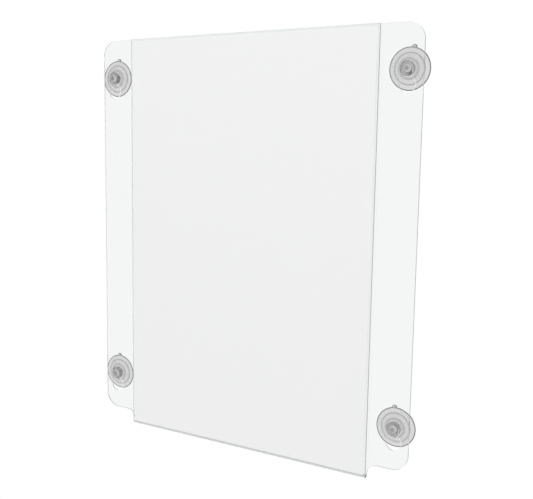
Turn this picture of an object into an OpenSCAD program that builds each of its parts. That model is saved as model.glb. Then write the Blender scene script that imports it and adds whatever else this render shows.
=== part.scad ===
// Window poster pocket: one folded clear sheet, the poster it shows, and four suction cups.
// The folded sheet is one piece of plastic, drawn as its two flats and the bend between them.
// X runs along the window, Z is up, and the viewer stands on the -Y side.
// The origin is on the window glass, midway between the four suction cups.

/* [Poster] */
// Width of the poster sheet
poster_w = 304.8; // [150:0.1:600]
// Height of the poster sheet
poster_h = 457.2; // [200:0.1:900]
// Thickness of the poster card
poster_t = 0.5; // [0.2:0.05:0.8]
// How far the poster sits off the pocket's middle, along X
poster_shift = -1.2; // [-1.5:0.1:1.5]

/* [Folded sheet] */
// Thickness of the clear sheet
sheet_t = 2; // [1.5:0.1:4]
// Free space inside the pocket, front to back
pocket_gap = 1.6; // [1.2:0.1:3]
// Spare width of the pocket on each side of the poster
side_spare = 1.85; // [1.6:0.05:5]
// How far the pocket's open top stands above the poster
top_spare = 2; // [0:0.5:10]
// Width of each side flange
flange_w = 44.5; // [40:0.5:80]
// Height of the flanges' bottom edge above the fold
flange_raise = 15; // [8:0.5:30]
// Radius of the flanges' outer corners
corner_r = 17; // [5:0.5:25]
// Radius of the hollow curve between a flange and the fold
hollow_r = 12; // [4:0.5:25]

/* [Keyholes] */
// Distance from the pocket's side edge out to a keyhole
key_out = 28.3; // [26:0.1:30]
// Distance from the sheet's top edge down to the upper cups' necks
key_top = 43.5; // [35:0.5:80]
// Distance from the flange's bottom edge up to the lower cups' necks
key_bottom = 43.5; // [35:0.5:80]
// Radius of a keyhole's entry hole
entry_r = 8.3; // [8.1:0.1:11]
// Distance from the neck's seat down to the entry hole's centre
entry_drop = 15; // [12:0.5:18]

/* [Suction cups] */
// Radius of a cup's lip
cup_r = 21; // [17:0.5:26]
// Thickness of the lip
lip_t = 0.8; // [0.6:0.1:1.2]
// Width of the lip ring outside the dome
lip_w = 5.9; // [4:0.1:7]
// Height of the collar's seat, and so of the sheet, above the glass
standoff = 4.6; // [4.2:0.1:8]
// Radius of the collar behind the sheet
collar_r = 6.2; // [5.8:0.1:7]
// Step from the lip's face up to the dome's foot
foot_step = 0.4; // [0.2:0.1:0.8]
// Step from the top of the dome to the collar's seat
collar_step = 0.9; // [0.5:0.1:1.2]
// Radius of the raised ring on the dome
ring_r = 9.8; // [8.6:0.1:10.5]
// Height of the raised ring above the dome
ring_h = 0.35; // [0.2:0.05:0.5]
// Depth of the hollow under the dome
hollow_depth = 1.6; // [1:0.1:2]
// Radius of the neck that sits in a keyhole
neck_r = 3.8; // [3:0.1:5]
// Radius of the mushroom head
head_r = 7.6; // [6:0.1:7.8]
// Thickness of the mushroom head
head_h = 3.4; // [2.5:0.1:5]
// Rounding of the head's lower edge
head_edge = 0.8; // [0.4:0.1:1.1]
// Radius of the dimple in the head's crown
dimple_r = 2.2; // [1:0.1:3]
// Depth of the dimple
dimple_depth = 0.6; // [0.2:0.1:1]
// Width of a pull tab
tab_w = 5.4; // [4:0.1:8]
// Thickness of a pull tab
tab_t = 1.3; // [0.8:0.1:2]
// How far a pull tab reaches past the lip
tab_out = 2.6; // [2:0.1:6]
// Lean of each pull tab from straight up, clockwise as the viewer sees it
tab_lean = [6.6, 10.8, -1.9, -5.9]; // [-180:0.1:180]

/* [Fits] */
// Side clearance between a neck and its slot
neck_fit = 0.3; // [0.3:0.05:0.6]
// Clearance between the sheet and the cup's collar, and under the head
face_fit = 0.3; // [0.3:0.05:0.6]
// Clearance under the poster's bottom edge
rest_fit = 0.1; // [0.05:0.05:0.3]

/* [Hidden] */
$fn = 96;

CLEAR = [0.93, 0.96, 0.95, 0.35];
CARD = [0.94, 0.94, 0.94];
SOFT_CLEAR = [0.82, 0.84, 0.84, 0.6];

// pocket sizes follow the poster
pane_w = poster_w + 2 * side_spare;
bend_in_r = pocket_gap / 2;
bend_out_r = bend_in_r + sheet_t;

// depths, as distances in front of the glass
back_y = standoff + face_fit;
face_y = back_y + sheet_t;
pane_y = face_y + pocket_gap;
bend_y = face_y + bend_in_r;
front_y = pane_y + sheet_t;

// the poster stands on the inside of the bend, where its bottom corners first touch
poster_foot = bend_out_r - sqrt(pow(bend_in_r, 2) - pow(poster_t / 2, 2)) + rest_fit;
pane_h = poster_foot + poster_h + top_spare;

// heights above the fold
neck_low = flange_raise + key_bottom;
neck_high = pane_h - key_top;
fold_z = -(neck_low + neck_high) / 2;
neck_x = pane_w / 2 + key_out;
neck_z = (neck_high - neck_low) / 2;

// [x, z] of each neck: upper left, upper right, lower left, lower right
NECKS = [[-neck_x, neck_z], [neck_x, neck_z], [-neck_x, -neck_z], [neck_x, -neck_z]];

slot_r = neck_r + neck_fit;
head_y = face_y + face_fit;

// the hollow curve ends above the bend, so the flat part alone is cut
hollow_cut_r = min(hollow_r, flange_raise - bend_out_r);

dome_r = cup_r - lip_w;
dome_low = lip_t + foot_step;
dome_high = standoff - collar_step;

// how far shapes run past the face they cut or join
cut = 1;

// Height of the dome's outer face at radius r
function dome_at(r) =
    dome_low + (dome_high - dome_low) * cos(asin((r - collar_r) / (dome_r - collar_r)));

// Draws a profile of the XZ plane as a plate whose back is y0 and front is y1 from the glass
module plate(y0, y1) {
    translate([0, -y0, 0]) rotate([90, 0, 0]) linear_extrude(y1 - y0) children();
}

// Turns a profile of radius and distance from the glass into a round piece about the -Y axis
module turned() {
    rotate([90, 0, 0]) rotate_extrude() children();
}

// One flange to the right of the pocket, with z = 0 at the fold
module flange_outline() {
    top = pane_h - corner_r;
    low = flange_raise + corner_r;
    out = flange_w - corner_r;
    translate([pane_w / 2, 0]) {
        translate([-cut, flange_raise]) square([out + cut, pane_h - flange_raise]);
        translate([out - cut, low]) square([corner_r + cut, top - low]);
        translate([out, top]) circle(corner_r);
        translate([out, low]) circle(corner_r);
        difference() {
            translate([-cut, flange_raise - hollow_cut_r]) square(hollow_cut_r + cut);
            translate([hollow_cut_r, flange_raise - hollow_cut_r]) circle(hollow_cut_r);
        }
    }
}

// Neck slot and entry hole of one keyhole, about the neck
module keyhole_outline() {
    circle(slot_r);
    translate([-slot_r, -entry_drop]) square([2 * slot_r, entry_drop]);
    translate([0, -entry_drop]) circle(entry_r);
}

// The whole back panel: the pocket's back and both flanges
module back_outline() {
    difference() {
        translate([0, fold_z]) {
            translate([-pane_w / 2, bend_out_r]) square([pane_w, pane_h - bend_out_r]);
            flange_outline();
            mirror([1, 0]) flange_outline();
        }
        for (p = NECKS) translate(p) keyhole_outline();
    }
}

module back_panel() {
    color(CLEAR) plate(back_y, face_y) back_outline();
}

// U bend along the pocket's bottom edge
module bottom_fold() {
    color(CLEAR)
        translate([pane_w / 2, -bend_y, fold_z + bend_out_r])
            rotate([0, -90, 0])
                linear_extrude(pane_w)
                    difference() {
                        circle(bend_out_r);
                        circle(bend_in_r);
                        translate([0, -2 * bend_out_r]) square(4 * bend_out_r);
                    }
}

module front_pane() {
    color(CLEAR)
        plate(pane_y, front_y)
            translate([-pane_w / 2, fold_z + bend_out_r]) square([pane_w, pane_h - bend_out_r]);
}

module insert_sheet() {
    color(CARD)
        plate(bend_y - poster_t / 2, bend_y + poster_t / 2)
            translate([poster_shift - poster_w / 2, fold_z + poster_foot]) square([poster_w, poster_h]);
}

// Lip, dome, collar and neck from the axis out: radius, then distance from the glass
module dome_profile() {
    rim = lip_t / 2;
    seat_r = dome_r - lip_t;
    difference() {
        union() {
            square([cup_r - rim, lip_t]);
            translate([cup_r - rim, rim]) circle(rim);
            polygon([
                [0, 0], [dome_r, 0],
                for (a = [90:-10:0]) [
                    collar_r + (dome_r - collar_r) * sin(a), dome_low + (dome_high - dome_low) * cos(a)
                ],
                [0, dome_high]
            ]);
            translate([ring_r, dome_at(ring_r) - ring_h]) circle(2 * ring_h);
            square([collar_r, standoff]);
            square([neck_r, head_y + head_h / 2]);
        }
        translate([0, -cut])
            polygon([
                [0, 0], [seat_r, 0],
                for (a = [90:-10:0]) [seat_r * sin(a), cut + hollow_depth * cos(a)]
            ]);
        translate([-2 * cup_r, -cup_r]) square([2 * cup_r, 4 * cup_r]);
    }
}

// Mushroom head: flat underneath, rounded at its edge and dimpled at the crown
module head_profile() {
    crown = head_h - head_edge;
    bowl = (pow(dimple_r, 2) + pow(dimple_depth, 2)) / (2 * dimple_depth);
    translate([0, head_y])
        difference() {
            polygon([
                [0, 0],
                for (a = [-90:15:0]) [
                    head_r - head_edge + head_edge * cos(a), head_edge + head_edge * sin(a)
                ],
                for (a = [10:10:90]) [head_r * cos(a), head_edge + crown * sin(a)]
            ]);
            translate([0, head_h - dimple_depth + bowl]) circle(bowl);
        }
}

// Pull tab: a flat tongue with a round end, part of the lip
module pull_tab(lean) {
    root = lip_w / 2;
    tab_r = tab_w / 2;
    rotate([0, lean, 0])
        plate(lip_t / 2, tab_t) {
            translate([-tab_r, cup_r - root]) square([tab_w, root + tab_out - tab_r]);
            translate([0, cup_r + tab_out - tab_r]) circle(tab_r);
        }
}

module suction_cup(i) {
    color(SOFT_CLEAR)
        translate([NECKS[i][0], 0, NECKS[i][1]]) {
            turned() {
                dome_profile();
                head_profile();
            }
            pull_tab(tab_lean[i]);
        }
}

module cup_upper_left() { suction_cup(0); }
module cup_upper_right() { suction_cup(1); }
module cup_lower_left() { suction_cup(2); }
module cup_lower_right() { suction_cup(3); }

back_panel();
bottom_fold();
front_pane();
insert_sheet();
cup_upper_left();
cup_upper_right();
cup_lower_left();
cup_lower_right();
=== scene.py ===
"""Clear acrylic poster pocket on four suction cups: the finished pieces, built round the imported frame."""
import math

import bmesh
import bpy
from bpy.props import FloatProperty, PointerProperty, StringProperty
from mathutils import Matrix, Vector


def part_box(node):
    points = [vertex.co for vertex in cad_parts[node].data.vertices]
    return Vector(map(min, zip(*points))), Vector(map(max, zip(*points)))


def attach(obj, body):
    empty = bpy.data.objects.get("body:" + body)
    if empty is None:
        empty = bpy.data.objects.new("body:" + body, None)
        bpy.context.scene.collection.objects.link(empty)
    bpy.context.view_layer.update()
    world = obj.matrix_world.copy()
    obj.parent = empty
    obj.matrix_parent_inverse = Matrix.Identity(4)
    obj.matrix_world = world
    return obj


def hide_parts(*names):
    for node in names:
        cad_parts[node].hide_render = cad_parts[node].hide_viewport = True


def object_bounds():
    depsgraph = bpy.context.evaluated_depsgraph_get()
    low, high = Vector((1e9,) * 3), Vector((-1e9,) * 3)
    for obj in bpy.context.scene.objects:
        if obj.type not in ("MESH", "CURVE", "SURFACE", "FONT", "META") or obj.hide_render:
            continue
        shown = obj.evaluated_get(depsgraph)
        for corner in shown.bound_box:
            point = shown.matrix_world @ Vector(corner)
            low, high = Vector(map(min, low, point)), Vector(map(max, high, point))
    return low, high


bl_info = {
    "name": "Window Poster Pocket",
    "version": (1, 0, 0),
    "blender": (4, 5, 0),
    "location": "View3D > Sidebar > Poster Pocket",
    "description": "Builds a folded acrylic poster pocket, its poster card and its suction cups",
    "category": "Add Mesh",
}

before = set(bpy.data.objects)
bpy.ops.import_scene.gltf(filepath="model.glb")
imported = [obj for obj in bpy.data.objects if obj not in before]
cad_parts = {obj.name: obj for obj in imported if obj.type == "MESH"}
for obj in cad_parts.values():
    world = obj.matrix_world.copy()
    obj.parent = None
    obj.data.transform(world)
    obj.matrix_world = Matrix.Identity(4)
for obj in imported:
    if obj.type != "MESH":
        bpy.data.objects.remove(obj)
CAD_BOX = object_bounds()

MM = 0.001
MERGE = 0.001 * MM

# each cup, and how many degrees its pull tab leans clockwise from straight up
TAB_LEANS = {
    "cup_upper_left": 6.6,
    "cup_upper_right": 10.8,
    "cup_lower_left": -1.9,
    "cup_lower_right": -5.9,
}
CUPS = tuple(TAB_LEANS)
SHEET_NODES = ("back_panel", "bottom_fold", "front_pane")

BACK_LOW, BACK_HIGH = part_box("back_panel")
PANE_LOW, PANE_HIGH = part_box("front_pane")
FOLD_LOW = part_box("bottom_fold")[0]
CARD_LOW, CARD_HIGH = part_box("insert_sheet")

SHEET_T = BACK_HIGH.y - BACK_LOW.y
PANE_HALF = PANE_HIGH.x
OUTER_HALF = BACK_HIGH.x
TOP_Z = BACK_HIGH.z
BEND_Z = BACK_LOW.z
BEND_R = (BACK_HIGH.y - PANE_LOW.y) / 2


def lip_radius(node):
    """Radius of a cup's lip, which is the cup's widest part."""
    low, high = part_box(node)
    return (high.x - low.x) / 2


def neck_centre(node):
    """Middle of a cup's neck in the XZ plane: half way across its lip, and a lip's radius above its foot."""
    low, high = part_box(node)
    return Vector(((low.x + high.x) / 2, 0, low.z + lip_radius(node)))


NECKS = {node: neck_centre(node) for node in CUPS}
CUP_R = lip_radius(CUPS[0])
HEAD_TOP = -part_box(CUPS[0])[0].y


# ---------------------------------------------------------------------------------------------- settings


class SheetSettings(bpy.types.PropertyGroup):
    """Sizes and colours of the folded sheet."""

    flange_raise: FloatProperty(
        name="Flange Raise", description="Height of the flanges' bottom edge above the fold",
        default=15 * MM, min=0.005, max=0.03, unit="LENGTH", precision=4)
    corner_radius: FloatProperty(
        name="Corner Radius", description="Radius of the flanges' outer corners",
        default=17 * MM, min=0.002, max=0.03, unit="LENGTH", precision=4)
    hollow_radius: FloatProperty(
        name="Hollow Radius", description="Radius of the hollow curve between a flange and the fold",
        default=12 * MM, min=0.002, max=0.03, unit="LENGTH", precision=4)
    slot_radius: FloatProperty(
        name="Slot Half Width", description="Half the width of a keyhole's neck slot",
        default=4.1 * MM, min=0.002, max=0.006, unit="LENGTH", precision=4)
    entry_radius: FloatProperty(
        name="Entry Radius", description="Radius of a keyhole's entry hole",
        default=8.3 * MM, min=0.006, max=0.011, unit="LENGTH", precision=4)
    entry_drop: FloatProperty(
        name="Entry Drop", description="From the neck's seat down to the entry hole's centre",
        default=15 * MM, min=0.01, max=0.02, unit="LENGTH", precision=4)
    colour: StringProperty(
        name="Colour", description="sRGB hex colour of white light that has passed through the sheet",
        default="f4f6f5")
    edge_colour: StringProperty(
        name="Edge Colour", description="sRGB hex colour of the upright cut edges", default="a9adab")
    # painted shade: the cut edges that face down get a darker colour and a dark glow, unlike the upright ones
    painted_underside_shade: StringProperty(
        name="Under Colour", description="sRGB hex colour of the cut edges that face down, in their shade",
        default="3a3c3b")
    bend_colour: StringProperty(
        name="Bend Colour", description="sRGB hex colour of light through the bend, which heat has hazed",
        default="d6d8d7")
    keyhole_colour: StringProperty(
        name="Keyhole Colour", description="sRGB hex colour of the keyholes' frosted walls", default="3c3e3d")
    # painted glow: the emission colour of the cut edges and keyhole walls, standing in for light piped along
    # the sheet
    painted_glow_colour: StringProperty(
        name="Glow Colour", description="sRGB hex colour of the light that leaves by the cut edges",
        default="f2f5f4")
    # painted light: lit_wall and shaded_wall set the emission of the keyhole walls, stronger on those that
    # face left than on those that face right
    lit_wall: FloatProperty(
        name="Lit Wall", description="Glow of the keyhole walls that face left, towards the light",
        default=0.92, min=0, max=2)
    shaded_wall: FloatProperty(
        name="Shaded Wall", description="Glow of the keyhole walls that face right",
        default=0.6, min=0, max=2)


class CardSettings(bpy.types.PropertyGroup):
    """Size and colour of the poster card."""

    bow: FloatProperty(
        name="Bow", description="How far the card bows between the panes",
        default=0.22 * MM, min=0, max=0.0005, unit="LENGTH", precision=5)
    colour: StringProperty(name="Colour", description="sRGB hex colour of the card", default="eceaec")


class CupSettings(bpy.types.PropertyGroup):
    """Sizes and colour of a suction cup."""

    tab_reach: FloatProperty(
        name="Tab Reach", description="How far a pull tab stands past the lip",
        default=2.5 * MM, min=0, max=0.004, unit="LENGTH", precision=4)
    colour: StringProperty(name="Colour", description="sRGB hex colour of the soft plastic", default="e1e0e0")
    # painted shade: the dark colour that the cups' rims, rings, collar, dimple and the tab's right side are
    # painted towards
    painted_shade_colour: StringProperty(
        name="Painted Shade Colour", description="sRGB hex colour at rims and steps, where light crosses more plastic",
        default="585858")


class StageSettings(bpy.types.PropertyGroup):
    """Floor, light and camera."""

    floor_gap: FloatProperty(
        name="Floor Gap", description="How far the floor lies below the pocket",
        default=0.3, min=0, max=2, unit="LENGTH")
    soft_light: FloatProperty(
        name="Soft Light", description="Power of the soft box overhead",
        default=6, min=0, max=200, unit="POWER")
    fill: FloatProperty(
        name="Fill", description="How much more of the walls' light matt surfaces get",
        default=1.3, min=1, max=6)
    surround: FloatProperty(
        name="Surround", description="Brightness of the white walls in front and behind",
        default=1.0, min=0, max=4)
    side_walls: FloatProperty(
        name="Side Walls", description="Brightness of the dim walls at the sides and overhead",
        default=0.42, min=0, max=4)


# ---------------------------------------------------------------------------------------------- materials

# a Mix node's two colour inputs and its colour output share their names with other sockets, so go by number
MIX_A, MIX_B, MIX_COLOUR = 6, 7, 2


def srgb(text):
    """Turns an sRGB hex value into linear red, green, blue and an alpha of 1."""
    values = [int(text[i:i + 2], 16) / 255 for i in (0, 2, 4)]
    return (*[v / 12.92 if v <= 0.04045 else ((v + 0.055) / 1.055) ** 2.4 for v in values], 1)


def cells(size):
    """Noise scale that gives cells of this many millimetres, on coordinates in metres."""
    return 1 / (size * MM)


def add(tree, kind, links=None, **settings):
    """Adds a node, sets its sockets and properties by name and links its inputs."""
    node = tree.nodes.new(kind)
    for key, value in settings.items():
        label = key.replace("_", " ")
        socket = next((s for s in node.inputs if s.name.lower() == label.lower()), None)
        if socket is not None and not hasattr(node, key):
            socket.default_value = value
        else:
            setattr(node, key, value)
    for label, source in (links or {}).items():
        tree.links.new(source, node.inputs[label])
    return node


def new_material(name):
    """An empty material and the output of its tree."""
    material = bpy.data.materials.new(name)
    material.use_nodes = True
    tree = material.node_tree
    tree.nodes.clear()
    return material, tree, tree.nodes.new("ShaderNodeOutputMaterial")


def cast_acrylic(colour):
    """Cast acrylic sheet: glass-clear and glossy, faintly green through its depth, with rubbed-in haze."""
    material, tree, out = new_material("cast_acrylic_sheet")
    place = add(tree, "ShaderNodeTexCoord").outputs["Object"]
    smear = add(tree, "ShaderNodeTexNoise", {"Vector": place}, Scale=cells(110), Detail=4.0)
    haze = add(tree, "ShaderNodeMapRange", {"Value": smear.outputs["Fac"]},
               From_Min=0.35, From_Max=0.75, To_Min=0.0, To_Max=0.03)
    body = add(tree, "ShaderNodeBsdfPrincipled", {"Roughness": haze.outputs["Result"]},
               Base_Color=srgb(colour), IOR=1.49, Transmission_Weight=1.0)
    depth = add(tree, "ShaderNodeVolumeAbsorption", Color=srgb("dfe6e3"), Density=6.0)
    tree.links.new(body.outputs["BSDF"], out.inputs["Surface"])
    tree.links.new(depth.outputs["Volume"], out.inputs["Volume"])
    return material


def scraped_edge_painted_glow(name, colour, glow):
    """Saw-cut edge, scraped smooth: satin and half clear, with a painted glow from its emission, which stands
    in for light piped along the sheet and shows it as a pale grey line. The scraper's chatter is drawn at 2.5
    mm, coarser than the real one, so that it shows."""
    material, tree, out = new_material(name)
    place = add(tree, "ShaderNodeTexCoord").outputs["Object"]
    ripple = add(tree, "ShaderNodeTexNoise", {"Vector": place}, Scale=cells(2.5), Detail=2.0)
    bump = add(tree, "ShaderNodeBump", {"Height": ripple.outputs["Fac"]}, Strength=0.15, Distance=0.1 * MM)
    # painted glow: the emission makes the edge give off light of its own
    body = add(tree, "ShaderNodeBsdfPrincipled", {"Normal": bump.outputs["Normal"]},
               Base_Color=srgb(colour), Roughness=0.45, IOR=1.49, Transmission_Weight=0.6,
               Emission_Color=srgb(glow), Emission_Strength=0.1)
    tree.links.new(body.outputs["BSDF"], out.inputs["Surface"])
    return material


def heat_bent(colour):
    """The sheet where a hot wire softened it for the bend: hazier and greyer, with long shallow ripples."""
    material, tree, out = new_material("heat_bent_acrylic")
    place = add(tree, "ShaderNodeTexCoord").outputs["Object"]
    ripple = add(tree, "ShaderNodeTexNoise", {"Vector": place}, Scale=cells(16.7), Detail=2.0)
    bump = add(tree, "ShaderNodeBump", {"Height": ripple.outputs["Fac"]}, Strength=0.2, Distance=0.4 * MM)
    body = add(tree, "ShaderNodeBsdfPrincipled", {"Normal": bump.outputs["Normal"]},
               Base_Color=srgb(colour), Roughness=0.12, IOR=1.49, Transmission_Weight=1.0)
    tree.links.new(body.outputs["BSDF"], out.inputs["Surface"])
    return material


def frosted_cut_painted_glow(name, colour, glow, strength):
    """Routed keyhole wall: frosted by the cutter, with a pale painted glow from its emission, which stands in
    for light piped along the sheet.
    The cutter's marks are drawn at 1.67 mm, coarser than the real ones, so that they show."""
    material, tree, out = new_material(name)
    place = add(tree, "ShaderNodeTexCoord").outputs["Object"]
    chatter = add(tree, "ShaderNodeTexNoise", {"Vector": place}, Scale=cells(1.67), Detail=2.0)
    bump = add(tree, "ShaderNodeBump", {"Height": chatter.outputs["Fac"]}, Strength=0.2, Distance=0.1 * MM)
    body = add(tree, "ShaderNodeBsdfPrincipled", {"Normal": bump.outputs["Normal"]},
               Base_Color=srgb(colour), Roughness=0.6, IOR=1.49,
               Emission_Color=srgb(glow), Emission_Strength=strength)
    tree.links.new(body.outputs["BSDF"], out.inputs["Surface"])
    return material


def matt_card(colour):
    """Uncoated poster card: matt, with a faint fibre mottle, drawn at 1.43 mm so that it shows."""
    material, tree, out = new_material("matt_poster_card")
    place = add(tree, "ShaderNodeTexCoord").outputs["Object"]
    fibre = add(tree, "ShaderNodeTexNoise", {"Vector": place}, Scale=cells(1.43), Detail=3.0)
    mottle = add(tree, "ShaderNodeMix", {"Factor": fibre.outputs["Fac"]}, data_type="RGBA")
    mottle.inputs[MIX_A].default_value = srgb(colour)
    mottle.inputs[MIX_B].default_value = [v * 0.97 for v in srgb(colour)[:3]] + [1]
    bump = add(tree, "ShaderNodeBump", {"Height": fibre.outputs["Fac"]}, Strength=0.1, Distance=0.1 * MM)
    body = add(tree, "ShaderNodeBsdfPrincipled",
               {"Base Color": mottle.outputs[MIX_COLOUR], "Normal": bump.outputs["Normal"]}, Roughness=0.85)
    tree.links.new(body.outputs["BSDF"], out.inputs["Surface"])
    return material


def soft_pvc(colour, painted_dark):
    """Clear plasticised PVC, moulded: soft grey and see-through, with a slightly cloudy, oily gloss.

    It is painted darker at rims, steps, the raised ring, the collar, the dimple and the pull tab's right
    side:
    painted shade that draws the cup's dark rings and outline, marked by a per-point shade attribute on the
    mesh."""
    material, tree, out = new_material("moulded_clear_pvc_painted_shade")
    place = add(tree, "ShaderNodeTexCoord").outputs["Object"]
    cloud = add(tree, "ShaderNodeTexNoise", {"Vector": place}, Scale=cells(8.3), Detail=3.0)
    gloss = add(tree, "ShaderNodeMapRange", {"Value": cloud.outputs["Fac"]},
                From_Min=0.3, From_Max=0.7, To_Min=0.02, To_Max=0.08)
    # painted shade: the plastic's colour is mixed towards the dark colour by the per-point shade on the mesh
    painted_shade_weight = add(tree, "ShaderNodeAttribute", attribute_name="painted_shade_weight")
    shade = add(tree, "ShaderNodeMix", {"Factor": painted_shade_weight.outputs["Fac"]}, data_type="RGBA")
    shade.inputs[MIX_A].default_value = srgb(colour)
    shade.inputs[MIX_B].default_value = srgb(painted_dark)
    body = add(tree, "ShaderNodeBsdfPrincipled",
               {"Roughness": gloss.outputs["Result"], "Base Color": shade.outputs[MIX_COLOUR]},
               IOR=1.53, Transmission_Weight=0.95)
    depth = add(tree, "ShaderNodeVolumeAbsorption", Color=srgb("bcbcbc"), Density=85.0)
    tree.links.new(body.outputs["BSDF"], out.inputs["Surface"])
    tree.links.new(depth.outputs["Volume"], out.inputs["Volume"])
    return material


def studio_floor():
    """Opal acrylic light table: lit evenly from below, so it is as white as the walls."""
    material, tree, out = new_material("opal_light_table")
    body = add(tree, "ShaderNodeBsdfPrincipled", Base_Color=srgb("000000"), Roughness=1.0,
               Specular_IOR_Level=0.0, Emission_Color=srgb("ffffff"), Emission_Strength=1.0)
    tree.links.new(body.outputs["BSDF"], out.inputs["Surface"])
    return material


# ---------------------------------------------------------------------------------------------- mesh helpers


def make_piece(name, bm, body, slot, *materials):
    """Turns a bmesh into a shown object at the origin that rides on a CAD body."""
    mesh = bpy.data.meshes.new(name)
    bm.to_mesh(mesh)
    bm.free()
    for material in materials:
        mesh.materials.append(material)
    piece = bpy.data.objects.new(name, mesh)
    bpy.context.scene.collection.objects.link(piece)
    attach(piece, body)
    return piece


def arc(centre, radius, start, end, steps):
    """Points along an arc in the XZ plane, from start to end in degrees, anticlockwise from +X."""
    turns = [math.radians(start + (end - start) * i / steps) for i in range(steps + 1)]
    return [Vector((centre[0] + radius * math.cos(a), 0, centre[1] + radius * math.sin(a))) for a in turns]


def closed_loop(bm, points, y):
    """Joins points in a ring of edges at depth y."""
    verts = [bm.verts.new((p.x, y, p.z)) for p in points]
    return [bm.edges.new((verts[i - 1], verts[i])) for i in range(len(verts))]


# ---------------------------------------------------------------------------------------------- folded sheet


def flange_points(s):
    """Outline of the right flange, from the pocket's bottom corner up to the sheet's top edge."""
    low = FOLD_LOW.z + s.flange_raise
    r = s.corner_radius
    hollow = arc((PANE_HALF + s.hollow_radius, low - s.hollow_radius), s.hollow_radius, 180, 90, 14)
    bottom = arc((OUTER_HALF - r, low + r), r, -90, 0, 20)
    top = arc((OUTER_HALF - r, TOP_Z - r), r, 0, 90, 20)
    return [Vector((PANE_HALF, 0, BEND_Z))] + hollow + bottom + top


def keyhole_points(node, s):
    """Outline of one keyhole: a round-topped slot that opens into the entry hole."""
    neck = NECKS[node]
    opening = math.degrees(math.acos(s.slot_radius / s.entry_radius))
    slot = arc((neck.x, neck.z), s.slot_radius, 0, 180, 16)
    entry = arc((neck.x, neck.z - s.entry_drop), s.entry_radius, 180 - opening, 360 + opening, 40)
    return slot + entry


def folded_sheet(s):
    """The one folded sheet: flat back with keyholes, U bend and front pane, as a closed shell."""
    bm = bmesh.new()
    right = flange_points(s)
    left = [Vector((-p.x, 0, p.z)) for p in reversed(right)]
    edges = closed_loop(bm, right + left, BACK_HIGH.y)
    for node in CUPS:
        edges += closed_loop(bm, keyhole_points(node, s), BACK_HIGH.y)
    bmesh.ops.triangle_fill(bm, use_beauty=True, use_dissolve=False, edges=edges)
    bmesh.ops.recalc_face_normals(bm, faces=bm.faces)
    if bm.faces[:][0].normal.y < 0:
        bmesh.ops.reverse_faces(bm, faces=bm.faces)

    seam = [e for e in bm.edges if e.is_boundary and e.calc_length() > PANE_HALF
            and all(abs(v.co.z - BEND_Z) < MERGE for v in e.verts)]
    if len(seam) != 1:
        raise RuntimeError("the back of the pocket has no single straight edge to bend")
    spun = bmesh.ops.spin(
        bm, geom=seam + list(seam[0].verts), cent=(0, BACK_HIGH.y - BEND_R, BEND_Z),
        axis=(1, 0, 0), angle=-math.pi, steps=16)
    last = [e for e in spun["geom_last"] if isinstance(e, bmesh.types.BMEdge)]
    raised = bmesh.ops.extrude_edge_only(bm, edges=last)
    verts = [v for v in raised["geom"] if isinstance(v, bmesh.types.BMVert)]
    bmesh.ops.translate(bm, verts=verts, vec=(0, 0, TOP_Z - BEND_Z))
    bmesh.ops.recalc_face_normals(bm, faces=bm.faces)
    outside = max(bm.faces, key=lambda f: f.calc_center_median().y)
    if outside.normal.y < 0:
        bmesh.ops.reverse_faces(bm, faces=bm.faces)
    bmesh.ops.solidify(bm, geom=bm.faces[:], thickness=SHEET_T)
    bmesh.ops.recalc_face_normals(bm, faces=bm.faces)
    return bm


# the order of the sheet's materials
POLISHED, UPRIGHT_EDGE, BEND, LIT_WALL, PAINTED_SHADE_UNDERSIDE, SHADED_WALL = range(6)


def sheet_finish(face, s):
    """Index of the finish that a face of the sheet gets, from where it lies and which way it faces. The
    keyhole walls get a brighter and a dimmer copy with painted glow, and edges that face down get a copy with
    painted shade.
    """
    middle = face.calc_center_median()
    if middle.z < BEND_Z - 0.01 * MM and abs(middle.x) < PANE_HALF + 0.1 * MM:
        return BEND
    if abs(face.normal.y) > 0.05:
        return POLISHED
    from_neck = min((middle - neck).length for neck in NECKS.values())
    keyhole_reach = s.entry_drop + s.entry_radius + 2 * MM
    if from_neck < keyhole_reach and abs(middle.x) < OUTER_HALF - MM:
        # lit and shaded copies of the keyhole wall: painted light on the left-facing walls, painted shade on
        # the right-facing ones
        return LIT_WALL if face.normal.x < 0 else SHADED_WALL
    # edges that face down get the copy with painted shade
    return PAINTED_SHADE_UNDERSIDE if face.normal.z < -0.3 else UPRIGHT_EDGE


class POCKET_OT_folded_sheet(bpy.types.Operator):
    """Build the folded acrylic sheet"""

    bl_idname = "pocket.folded_sheet"
    bl_label = "Folded Sheet"

    def execute(self, context):
        s = context.scene.pocket_sheet
        bm = folded_sheet(s)
        for face in bm.faces:
            face.material_index = sheet_finish(face, s)
        piece = make_piece(
            "acrylic_sheet", bm, "holder", "clear_acrylic",
            cast_acrylic(s.colour),
            scraped_edge_painted_glow("scraped_acrylic_edge_painted_glow", s.edge_colour, s.painted_glow_colour),
            heat_bent(s.bend_colour),
            frosted_cut_painted_glow("routed_acrylic_wall_painted_glow", s.keyhole_colour, s.painted_glow_colour, s.lit_wall),
            # painted shade: the down-facing edges' copy, with a dark colour and a dark glow
            scraped_edge_painted_glow("scraped_acrylic_underside_painted_shade", s.painted_underside_shade, s.painted_underside_shade),
            frosted_cut_painted_glow("routed_acrylic_wall_painted_shade", s.keyhole_colour, s.painted_glow_colour, s.shaded_wall))
        # the card behind is lit as if the sheet lost no light
        piece.visible_diffuse = False
        piece.visible_shadow = False
        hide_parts(*SHEET_NODES)
        return {"FINISHED"}


# ---------------------------------------------------------------------------------------------- card


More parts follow.
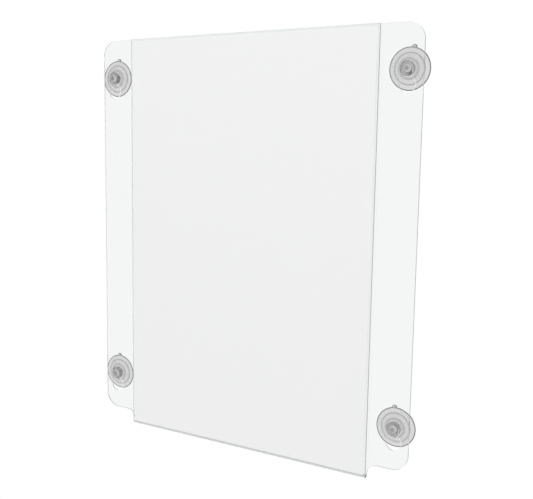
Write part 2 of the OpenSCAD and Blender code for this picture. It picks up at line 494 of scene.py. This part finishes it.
class POCKET_OT_card(bpy.types.Operator):
    """Build the poster card, with the slight bow of a loose sheet"""

    bl_idname = "pocket.card"
    bl_label = "Poster Card"

    def execute(self, context):
        s = context.scene.pocket_card
        thick = CARD_HIGH.y - CARD_LOW.y
        width, height = CARD_HIGH.x - CARD_LOW.x, CARD_HIGH.z - CARD_LOW.z
        middle = (CARD_LOW + CARD_HIGH) / 2
        bm = bmesh.new()
        bmesh.ops.create_grid(bm, x_segments=24, y_segments=36, size=0.5)
        bmesh.ops.transform(bm, matrix=Matrix.Translation(middle) @ Matrix.Rotation(math.pi / 2, 4, "X")
                            @ Matrix.Diagonal((width, height, 1, 1)), verts=bm.verts)
        for v in bm.verts:
            across = (v.co.x - middle.x) / width * 2
            v.co.y += s.bow * math.cos(across * math.pi / 2)
        bmesh.ops.solidify(bm, geom=bm.faces[:], thickness=thick)
        depths = [v.co.y for v in bm.verts]
        bmesh.ops.translate(bm, verts=bm.verts, vec=(0, middle.y - (min(depths) + max(depths)) / 2, 0))
        bmesh.ops.recalc_face_normals(bm, faces=bm.faces)
        piece = make_piece("poster_card", bm, "poster", "poster_card", matt_card(s.colour))
        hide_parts("insert_sheet")
        return {"FINISHED"}


# ---------------------------------------------------------------------------------------------- cups


def section_arc(centre, size, degrees, shade):
    """Points of a cup's section along an ellipse: 0 degrees is away from the axis, 90 away from the glass."""
    turns = [math.radians(d) for d in degrees]
    return [(centre[0] + size[0] * math.cos(a), centre[1] + size[1] * math.sin(a), shade) for a in turns]


def cup_profile():
    """Half section of a cup, from the axis under the dome, round the lip and up to the crown.

    Each point is a radius and a distance from the glass, in millimetres, and a painted shade from 0 to 1,
    which says how far the plastic there is painted darker, to draw the cup's dark rings and outline."""
    dome, ring, collar, neck, head = 15.1, 9.8, 6.2, 3.8, 7.6
    under = section_arc((0, 0), (14.3, 1.6), range(90, -1, -9), 0)
    lip = [(17.5, 0.0, 0), (19.7, 0.0, 0), (20.2, 0.0, 0.8), (20.85, 0.12, 1), (21.0, 0.45, 1),
           (20.85, 0.78, 1), (20.2, 0.9, 0.8), (19.7, 0.86, 0), (17.8, 0.95, 0)]
    step = [(16.3, 1.08, 0), (15.8, 1.16, 0.6), (15.4, 1.35, 0.7), (15.1, 1.7, 0.6), (14.8, 2.05, 0.5)]
    rise = section_arc((collar, 1.2), (dome - collar, 2.5), (24, 33, 40), 0)
    bead = [(ring + 1.3, 3.14, 0), (ring + 0.85, 3.36, 0.8), (ring + 0.45, 3.68, 0.6), (ring, 3.8, 0.1),
            (ring - 0.45, 3.78, 0.6), (ring - 0.85, 3.56, 0.8), (ring - 1.3, 3.52, 0)]
    shoulder = [(7.6, 3.66, 0), (6.9, 3.7, 0.2), (6.4, 3.85, 0.6), (collar, 4.2, 0.7),
                (collar - 0.25, 4.52, 0.4), (collar - 0.6, 4.6, 0)]
    stem = [(neck + 0.25, 4.6, 0), (neck, 4.85, 0.2), (neck, 6.95, 0.2), (neck + 0.25, 7.2, 0)]
    low, high, edge = 7.2, HEAD_TOP / MM, 0.8
    cap = section_arc((head - edge, low + edge), (edge, edge), range(-90, 1, 18), 0.25)
    crown = section_arc((0, low + edge), (head, high - low - edge), range(10, 71, 10), 0)
    dimple = [(2.1, high - 0.03, 0.3), (1.7, high - 0.2, 0.7), (1.1, high - 0.5, 0.7), (0, high - 0.6, 0.5)]
    return under + lip + step + rise + bead + shoulder + stem + cap + crown + dimple


def on_tab(point):
    """Whether a point of the cup is on the stretch of the lip's rim that the pull tab grows from."""
    half_angle = math.radians(7.6)
    on_rim = math.hypot(point.x, point.z) > CUP_R - 0.5 * MM
    return on_rim and abs(math.atan2(point.x, point.z)) < half_angle


def draw_out_tab(bm, painted_shade_weight, reach):
    """Draws the pull tab out of the lip in three steps that round its end, with painted shade: its right side
    dark, the rest a little grey.
    """
    rim = [f for f in bm.faces if on_tab(f.calc_center_median())]
    if not rim:
        raise RuntimeError("the lip has no faces to draw the pull tab from")
    dark_from = 1.9 * MM
    for share, width in ((0.55, 0.96), (0.3, 0.8), (0.15, 0.5)):
        out = bmesh.ops.extrude_face_region(bm, geom=rim)
        bmesh.ops.delete(bm, geom=rim, context="FACES")
        tip = [g for g in out["geom"] if isinstance(g, bmesh.types.BMVert)]
        rim = [g for g in out["geom"] if isinstance(g, bmesh.types.BMFace)]
        for v in tip:
            # painted shade on the tab: dark on its right side, light grey elsewhere
            v[painted_shade_weight] = 1.0 if v.co.x > dark_from * width else 0.25
        bmesh.ops.translate(bm, verts=tip, vec=(0, 0, reach * share))
        bmesh.ops.scale(bm, verts=tip, vec=(width, 1, 1))


def cup_mesh(s):
    """One moulded cup: its section spun about the neck's axis, with the pull tab drawn out of the lip."""
    bm = bmesh.new()
    painted_shade_weight = bm.verts.layers.float.new("painted_shade_weight")
    verts = []
    for r, u, shade in cup_profile():
        verts.append(bm.verts.new((r * MM, -u * MM, 0)))
        verts[-1][painted_shade_weight] = shade
    edges = [bm.edges.new(pair) for pair in zip(verts, verts[1:])]
    bmesh.ops.spin(bm, geom=verts + edges, cent=(0, 0, 0), axis=(0, 1, 0), angle=2 * math.pi,
                   steps=96, use_merge=True)
    bmesh.ops.remove_doubles(bm, verts=bm.verts, dist=MERGE)
    bmesh.ops.recalc_face_normals(bm, faces=bm.faces)
    draw_out_tab(bm, painted_shade_weight, s.tab_reach)
    bmesh.ops.recalc_face_normals(bm, faces=bm.faces)
    return bm


class POCKET_OT_cups(bpy.types.Operator):
    """Build the four moulded suction cups, each turned as its pull tab leans"""

    bl_idname = "pocket.cups"
    bl_label = "Suction Cups"

    def execute(self, context):
        s = context.scene.pocket_cups
        pvc = soft_pvc(s.colour, s.painted_shade_colour)
        for node, lean in TAB_LEANS.items():
            bm = cup_mesh(s)
            turn = Matrix.Translation(NECKS[node]) @ Matrix.Rotation(math.radians(lean), 4, "Y")
            bmesh.ops.transform(bm, matrix=turn, verts=bm.verts)
            for face in bm.faces:
                face.smooth = True
            piece = make_piece("soft_" + node, bm, node, "clear_pvc", pvc)
            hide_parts(node)
        return {"FINISHED"}


# ---------------------------------------------------------------------------------------------- stage


# half the floor's width, and the soft box, in metres
FLOOR_HALF = 8
LAMP_SIZE = 0.9
LAMP_PLACE = Vector((0.5, -0.9, 1.7))
# the camera: its place in metres, its turns in degrees and its focal length in millimetres
EYE_PLACE = Vector((0.4548, -0.7401, 0.1046))
EYE_AZIMUTH = 30.115
EYE_ELEVATION = 7.56
EYE_ROLL = 0.944
EYE_LENS = 53.2


class POCKET_OT_stage(bpy.types.Operator):
    """Set the white floor, the surround, the soft light and the camera"""

    bl_idname = "pocket.stage"
    bl_label = "Stage"

    def execute(self, context):
        s = context.scene.pocket_stage
        scene = context.scene
        scene.view_settings.view_transform = "Standard"

        bm = bmesh.new()
        bmesh.ops.create_grid(bm, x_segments=1, y_segments=1, size=FLOOR_HALF)
        bmesh.ops.translate(bm, verts=bm.verts, vec=(0, 0, CAD_BOX[0].z - s.floor_gap))
        mesh = bpy.data.meshes.new("studio_floor")
        bm.to_mesh(mesh)
        bm.free()
        mesh.materials.append(studio_floor())
        floor = bpy.data.objects.new("studio_floor", mesh)
        scene.collection.objects.link(floor)

        self.surround(scene, s)
        self.lamp(scene, s.soft_light)
        self.camera(scene)
        return {"FINISHED"}

    @staticmethod
    def lamp(scene, power):
        """Aims a square soft box at the pocket, from above and in front."""
        light = bpy.data.lights.new("overhead_box", "AREA")
        light.energy = power
        light.size = LAMP_SIZE
        lamp = bpy.data.objects.new("overhead_box", light)
        lamp.location = LAMP_PLACE
        lamp.rotation_euler = (-LAMP_PLACE).to_track_quat("-Z", "Y").to_euler()
        scene.collection.objects.link(lamp)

    @staticmethod
    def surround(scene, s):
        """White walls in front and behind, dim ones at the sides and overhead: they outline clear plastic."""
        world = bpy.data.worlds.new("studio_surround")
        world.use_nodes = True
        tree = world.node_tree
        tree.nodes.clear()
        place = add(tree, "ShaderNodeTexCoord")
        axes = add(tree, "ShaderNodeSeparateXYZ", {"Vector": place.outputs["Generated"]})
        depth = add(tree, "ShaderNodeMath", {0: axes.outputs["Y"]}, operation="ABSOLUTE")
        walls = add(tree, "ShaderNodeMapRange", {"Value": depth.outputs["Value"]},
                    From_Min=0.2, From_Max=0.6, To_Min=s.side_walls, To_Max=s.surround)
        path = add(tree, "ShaderNodeLightPath")
        fill = add(tree, "ShaderNodeMapRange", {"Value": path.outputs["Diffuse Depth"]},
                   To_Min=1.0, To_Max=s.fill)
        lit = add(tree, "ShaderNodeMath", {0: walls.outputs["Result"], 1: fill.outputs["Result"]},
                  operation="MULTIPLY")
        seen = add(tree, "ShaderNodeMath", {0: lit.outputs["Value"], 1: path.outputs["Is Camera Ray"]},
                   operation="MAXIMUM")
        light = add(tree, "ShaderNodeBackground", {"Strength": seen.outputs["Value"]}, Color=(1, 1, 1, 1))
        add(tree, "ShaderNodeOutputWorld", {"Surface": light.outputs["Background"]})
        scene.world = world

    @staticmethod
    def camera(scene):
        """A short telephoto at the right of the pocket, a little above its middle and slightly rolled."""
        azimuth, elevation, roll = (math.radians(a) for a in (EYE_AZIMUTH, EYE_ELEVATION, EYE_ROLL))
        level = Vector((math.sin(azimuth), -math.cos(azimuth), 0))
        back = level * math.cos(elevation) + Vector((0, 0, math.sin(elevation)))
        right = Vector((math.cos(azimuth), math.sin(azimuth), 0))
        side = right * math.cos(roll) + back.cross(right) * math.sin(roll)
        data = bpy.data.cameras.new("camera")
        data.sensor_width = 36
        data.lens = EYE_LENS
        camera = bpy.data.objects.new("camera", data)
        axes = Matrix((side, back.cross(side), back)).transposed().to_4x4()
        camera.matrix_world = Matrix.Translation(EYE_PLACE) @ axes
        scene.collection.objects.link(camera)
        scene.camera = camera


# ---------------------------------------------------------------------------------------------- add-on


class POCKET_PT_sidebar(bpy.types.Panel):
    """Lists the pieces and their settings"""

    bl_label = "Poster Pocket"
    bl_idname = "POCKET_PT_sidebar"
    bl_space_type = "VIEW_3D"
    bl_region_type = "UI"
    bl_category = "Poster Pocket"

    def draw(self, context):
        for group, operator in STEPS:
            box = self.layout.box()
            settings = getattr(context.scene, group)
            for key in settings.__annotations__:
                box.prop(settings, key)
            box.operator(operator)


STEPS = (
    ("pocket_sheet", "pocket.folded_sheet"),
    ("pocket_card", "pocket.card"),
    ("pocket_cups", "pocket.cups"),
    ("pocket_stage", "pocket.stage"),
)
GROUPS = {
    "pocket_sheet": SheetSettings,
    "pocket_card": CardSettings,
    "pocket_cups": CupSettings,
    "pocket_stage": StageSettings,
}
CLASSES = (
    *GROUPS.values(), POCKET_OT_folded_sheet, POCKET_OT_card, POCKET_OT_cups, POCKET_OT_stage,
    POCKET_PT_sidebar,
)


def register():
    for cls in CLASSES:
        bpy.utils.register_class(cls)
    for name, group in GROUPS.items():
        setattr(bpy.types.Scene, name, PointerProperty(type=group))


def unregister():
    for name in GROUPS:
        delattr(bpy.types.Scene, name)
    for cls in reversed(CLASSES):
        bpy.utils.unregister_class(cls)


def main():
    register()
    bpy.ops.pocket.stage()
    bpy.ops.pocket.folded_sheet()
    bpy.ops.pocket.card()
    bpy.ops.pocket.cups()


if __name__ == "__main__":
    main()
